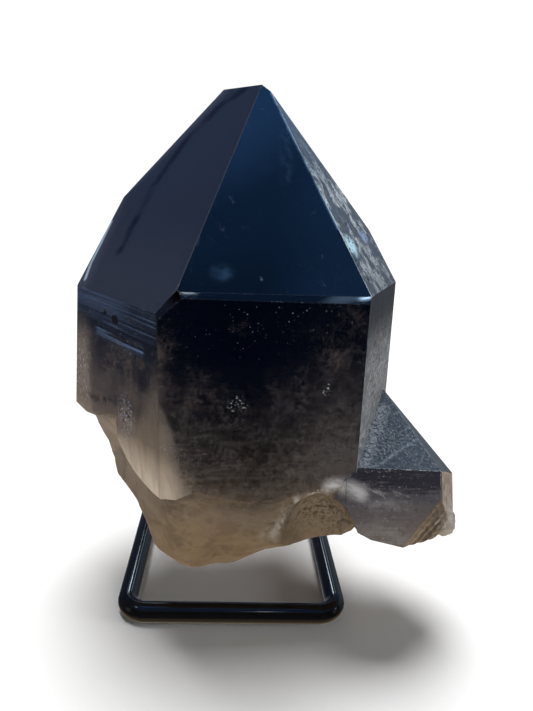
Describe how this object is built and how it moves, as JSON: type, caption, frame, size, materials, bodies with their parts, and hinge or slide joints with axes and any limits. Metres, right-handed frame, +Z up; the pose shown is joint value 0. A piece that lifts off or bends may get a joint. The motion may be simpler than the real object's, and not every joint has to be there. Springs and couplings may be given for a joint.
{
  "type": "quartz crystal on stand",
  "caption": "Large six-sided smoky quartz point with a smaller crystal grown on its side, held above the table by a low stand of bent black steel rod.",
  "frame": {"origin": "on the surface that the stand lies on, under the middle of the whole object's box", "axes": "+Z up, +X along the stand's front bar to the viewer's right, +Y back along the stand's arms; the crystal's front face looks toward -Y"},
  "size_m": [0.1858, 0.1334, 0.2438],
  "materials": {
    "smoky_quartz": "natural crystal faces, polished point, broken foot",
    "gloss_black_steel": "gloss black paint"
  },
  "bodies": {
    "root": {"smoky_quartz_crystal": "smoky_quartz", "display_stand": "gloss_black_steel"}
  },
  "joints": []
}
